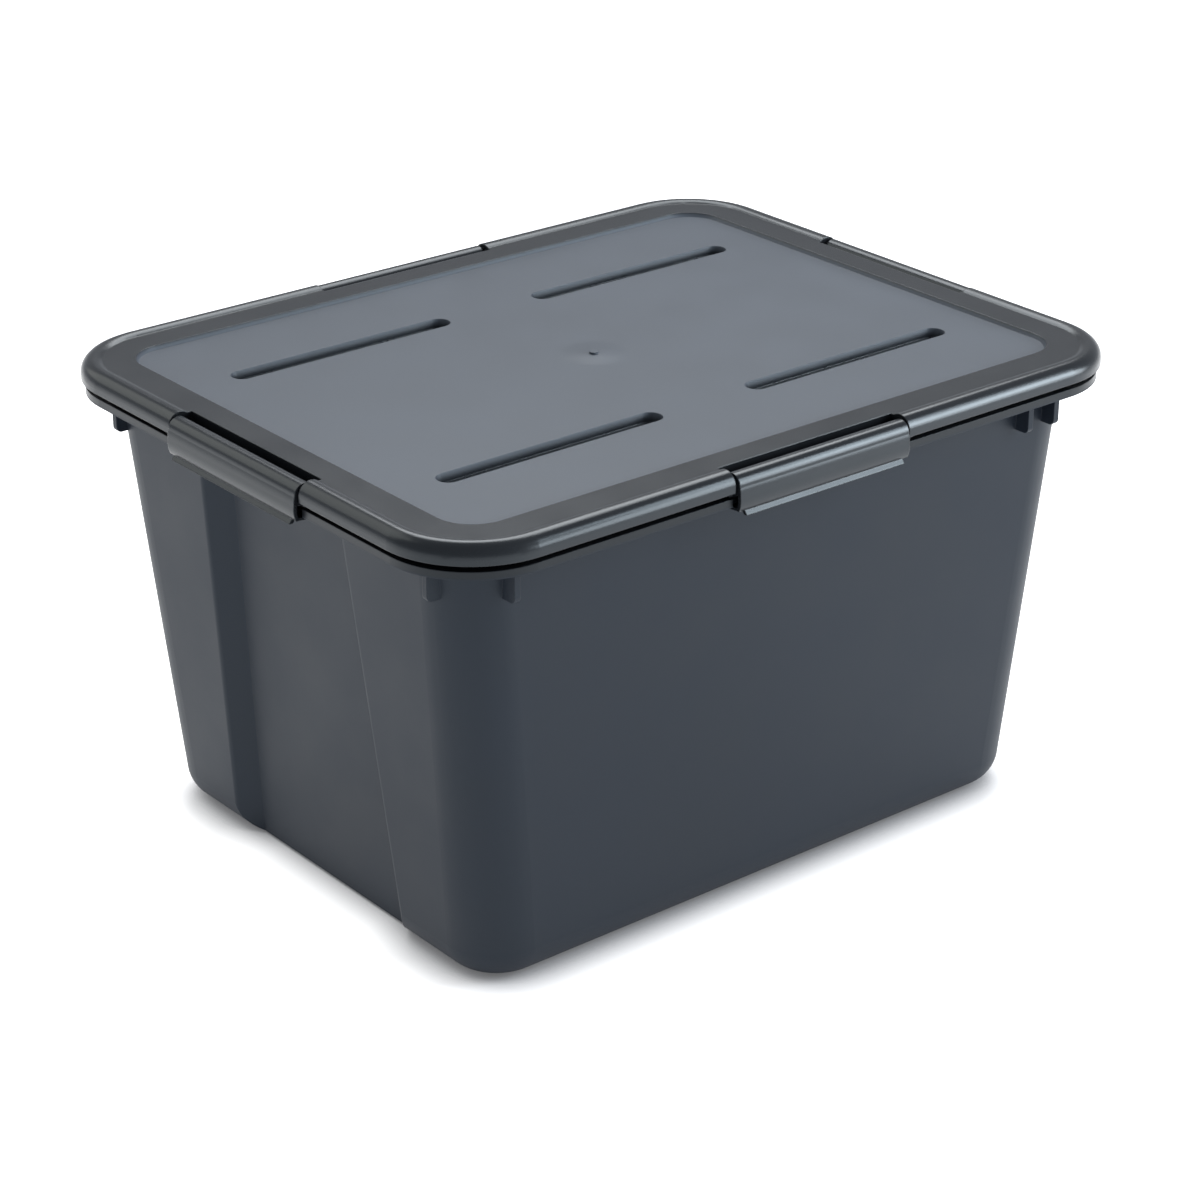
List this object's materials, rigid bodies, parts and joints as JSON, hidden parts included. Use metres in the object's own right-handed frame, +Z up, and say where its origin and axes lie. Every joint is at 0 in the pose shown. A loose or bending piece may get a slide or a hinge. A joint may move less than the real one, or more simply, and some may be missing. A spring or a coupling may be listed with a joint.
{
  "type": "portable file box",
  "caption": "Portable file box: a tapered rectangular plastic tub with hanging-file rails, closed by a lift-off lid whose swinging latches hook under the tub's flange.",
  "frame": {"origin": "centre of the footprint, on the plane the box stands on", "axes": "+X along the long side, +Y along the short side, +Z up"},
  "size_m": [0.455, 0.361, 0.2565],
  "materials": {
    "tub_plastic": "blue-grey moulded polypropylene, fine satin texture",
    "lid_plastic": "blue-grey moulded polypropylene, fine-textured panel and smoother rolled rim",
    "latch_plastic": "blue-grey moulded polypropylene, smooth semi-gloss"
  },
  "bodies": {
    "tub": {"tub": "tub_plastic"},
    "lid": {"lid": "lid_plastic"},
    "latch_front": {"latch_front": "latch_plastic"},
    "latch_back": {"latch_back": "latch_plastic"},
    "latch_left": {"latch_left": "latch_plastic"},
    "latch_right": {"latch_right": "latch_plastic"}
  },
  "joints": [
    {"name": "lid_lift", "type": "slide", "parent": "tub", "child": "lid", "axis": [0, 0, 1], "range_m": [0, 0.15]},
    {"name": "latch_front_hinge", "type": "hinge", "parent": "lid", "child": "latch_front", "pos_m": [0, -0.1733, 0.2491], "axis": [-1, 0, 0], "range_deg": [0, 200]},
    {"name": "latch_back_hinge", "type": "hinge", "parent": "lid", "child": "latch_back", "pos_m": [0, 0.1733, 0.2491], "axis": [1, 0, 0], "range_deg": [0, 200]},
    {"name": "latch_left_hinge", "type": "hinge", "parent": "lid", "child": "latch_left", "pos_m": [-0.2203, 0, 0.2491], "axis": [0, 1, 0], "range_deg": [0, 200]},
    {"name": "latch_right_hinge", "type": "hinge", "parent": "lid", "child": "latch_right", "pos_m": [0.2203, 0, 0.2491], "axis": [0, -1, 0], "range_deg": [0, 200]}
  ]
}
